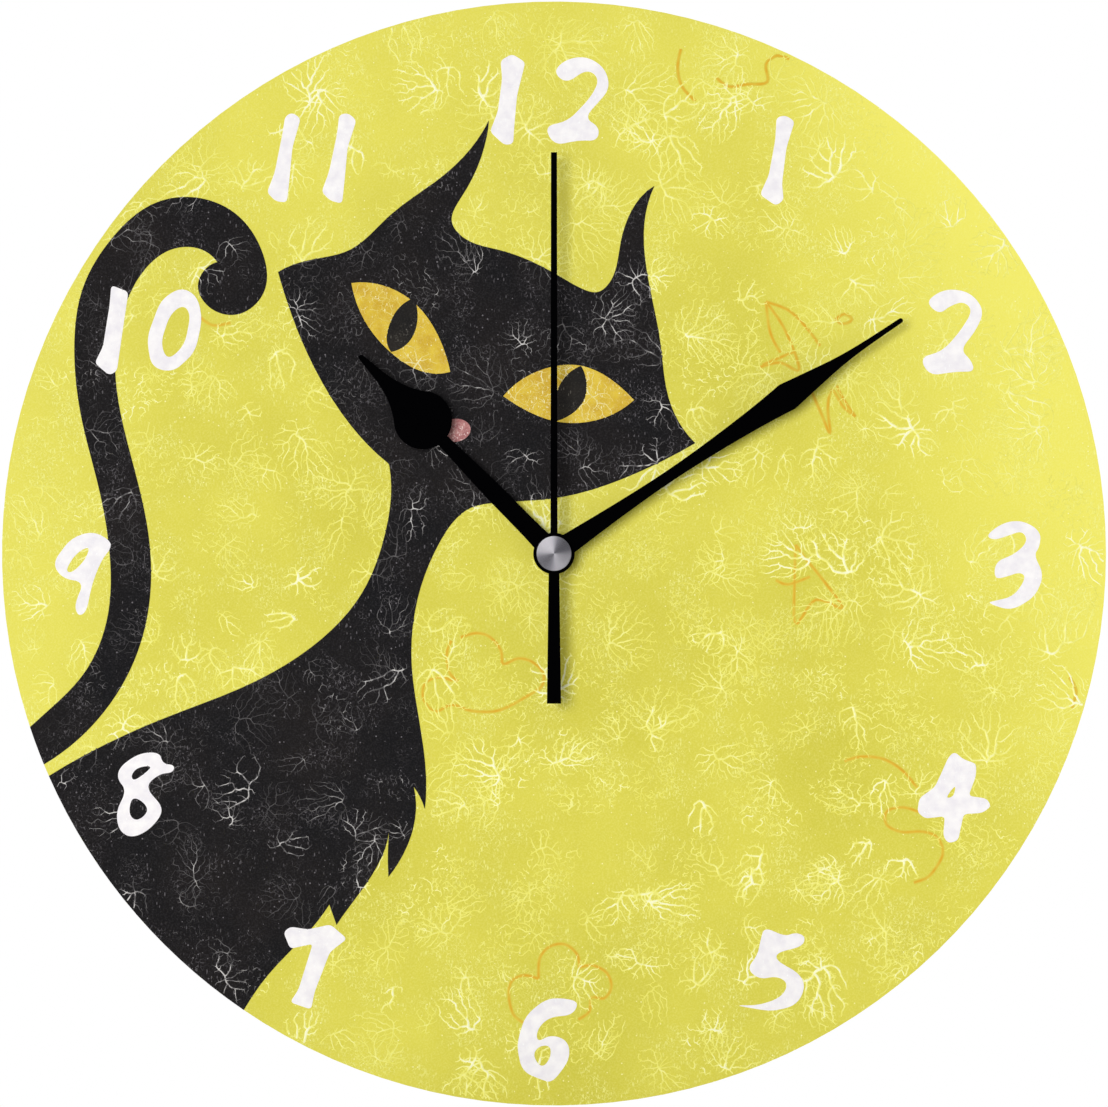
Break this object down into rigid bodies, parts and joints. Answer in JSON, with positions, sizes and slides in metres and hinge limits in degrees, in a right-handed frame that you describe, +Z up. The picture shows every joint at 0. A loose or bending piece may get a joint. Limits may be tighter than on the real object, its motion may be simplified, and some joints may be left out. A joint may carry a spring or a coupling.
{
  "type": "wall clock",
  "caption": "Frameless round wall clock with a printed cat whose tail curls round the dial, brush numerals, three black hands and a quartz movement behind.",
  "frame": {"origin": "on the hand spindle, in the plane that lies against the wall (the flat back of the movement)", "axes": "+Y from the dial towards the wall, so the dial faces -Y; +Z up to twelve o'clock; +X towards three o'clock"},
  "size_m": [0.25, 0.0312, 0.25],
  "materials": {
    "board_fibre": "white-faced hard fibreboard, smooth",
    "board_print": "satin printed film, yellow with pale crackle",
    "ink_black": "satin printed black with fine white crackle",
    "ink_amber": "satin printed amber",
    "ink_pupil": "satin printed black",
    "ink_pink": "satin printed pink",
    "ink_white": "satin printed white brush marks",
    "hands_black": "satin black paint on stamped aluminium",
    "cap_spun": "spun, clear lacquered",
    "case_black": "fine textured black moulding",
    "cover_black": "fine textured black moulding",
    "gear_white": "natural acetal",
    "plate_white": "natural acetal",
    "knob_white": "grooved white moulding",
    "rubber_black": "soft black rubber",
    "brass_turned": "turned brass",
    "nut_black": "black oxide",
    "washer_steel": "plain steel",
    "shaft_steel": "ground steel",
    "iron_sheet": "bare soft iron",
    "magnet_grey": "dark sintered magnet",
    "copper_wire": "enamelled copper wire",
    "bobbin_red": "moulded reel",
    "circuit_green": "green solder mask on glass fibre",
    "resin_black": "black potting resin",
    "crystal_can": "plated can",
    "contact_plated": "nickel-plated spring brass",
    "cell_steel": "nickel-plated can",
    "cell_jacket": "printed jacket, blue with a metallic band"
  },
  "bodies": {
    "housing": {"dial_board": "board_fibre", "dial_print_film": "board_print", "cat_body_print": "ink_black", "cat_tail_print": "ink_black", "cat_eyes_print": "ink_amber", "cat_pupils_print": "ink_pupil", "cat_tongue_print": "ink_pink", "numerals_print": "ink_white", "dial_gasket": "rubber_black", "dial_washer": "washer_steel", "ring_nut": "nut_black", "front_case": "case_black", "hanger_plate": "case_black", "threaded_bush": "brass_turned", "rear_cover": "cover_black", "middle_plate": "plate_white", "rear_bridge": "plate_white", "stator": "iron_sheet", "coil_core": "iron_sheet", "coil_bobbin": "bobbin_red", "coil_winding": "copper_wire", "circuit_board": "circuit_green", "chip_blob": "resin_black", "quartz_crystal": "crystal_can", "positive_contact": "contact_plated", "negative_contact": "contact_plated"},
    "battery": {"battery_cell": "cell_steel", "battery_sleeve": "cell_jacket"},
    "hour_assembly": {"hour_wheel": "gear_white", "hour_hand": "hands_black", "hour_hand_collet": "nut_black"},
    "minute_assembly": {"minute_pipe": "gear_white", "minute_hand": "hands_black", "minute_hand_collet": "nut_black", "clutch_washer": "washer_steel"},
    "second_assembly": {"second_shaft": "shaft_steel", "second_wheel": "gear_white", "second_hand": "hands_black", "second_hand_socket": "brass_turned", "centre_cap": "cap_spun"},
    "centre_wheel": {"centre_wheel": "gear_white"},
    "third_wheel": {"third_wheel": "gear_white"},
    "intermediate_wheel": {"intermediate_wheel": "gear_white"},
    "rotor": {"rotor_pinion": "gear_white", "rotor_magnet": "magnet_grey"},
    "setting_idler": {"setting_wheel": "gear_white"},
    "setting_knob": {"setting_shaft": "gear_white", "setting_knob": "knob_white"}
  },
  "joints": [
    {"name": "second_hand_spin", "type": "hinge", "parent": "housing", "child": "second_assembly", "pos_m": [0, -0.02, 0], "axis": [0, 1, 0], "continuous": true},
    {"name": "minute_hand_spin", "type": "hinge", "parent": "housing", "child": "minute_assembly", "pos_m": [0, -0.02, 0], "axis": [0, 1, 0], "continuous": true},
    {"name": "hour_hand_spin", "type": "hinge", "parent": "housing", "child": "hour_assembly", "pos_m": [0, -0.02, 0], "axis": [0, 1, 0], "continuous": true},
    {"name": "centre_wheel_spin", "type": "hinge", "parent": "housing", "child": "centre_wheel", "pos_m": [0, -0.0107, 0], "axis": [0, 1, 0], "continuous": true},
    {"name": "third_wheel_spin", "type": "hinge", "parent": "housing", "child": "third_wheel", "pos_m": [0.00425, -0.009, 0.00736], "axis": [0, 1, 0], "continuous": true},
    {"name": "intermediate_wheel_spin", "type": "hinge", "parent": "housing", "child": "intermediate_wheel", "pos_m": [0.0059, -0.008, -0.00413], "axis": [0, 1, 0], "continuous": true},
    {"name": "rotor_spin", "type": "hinge", "parent": "housing", "child": "rotor", "pos_m": [0.01141, -0.009, -0.0051], "axis": [0, 1, 0], "continuous": true},
    {"name": "setting_wheel_spin", "type": "hinge", "parent": "housing", "child": "setting_idler", "pos_m": [-0.01039, -0.0138, 0.006], "axis": [0, 1, 0], "continuous": true},
    {"name": "setting_knob_spin", "type": "hinge", "parent": "housing", "child": "setting_knob", "pos_m": [-0.00439, -0.007, 0.01639], "axis": [0, 1, 0], "continuous": true},
    {"name": "battery_slide", "type": "slide", "parent": "housing", "child": "battery", "axis": [0, 1, 0], "range_m": [0, 0.03]}
  ],
  "couplings": [
    {"joint": "centre_wheel_spin", "follows": "second_hand_spin", "ratio": 0.016667},
    {"joint": "third_wheel_spin", "follows": "second_hand_spin", "ratio": -0.13333},
    {"joint": "intermediate_wheel_spin", "follows": "second_hand_spin", "ratio": -5},
    {"joint": "rotor_spin", "follows": "second_hand_spin", "ratio": 30},
    {"joint": "hour_hand_spin", "follows": "minute_hand_spin", "ratio": 0.083333},
    {"joint": "setting_wheel_spin", "follows": "minute_hand_spin", "ratio": -0.33333},
    {"joint": "setting_knob_spin", "follows": "minute_hand_spin", "ratio": 1}
  ]
}
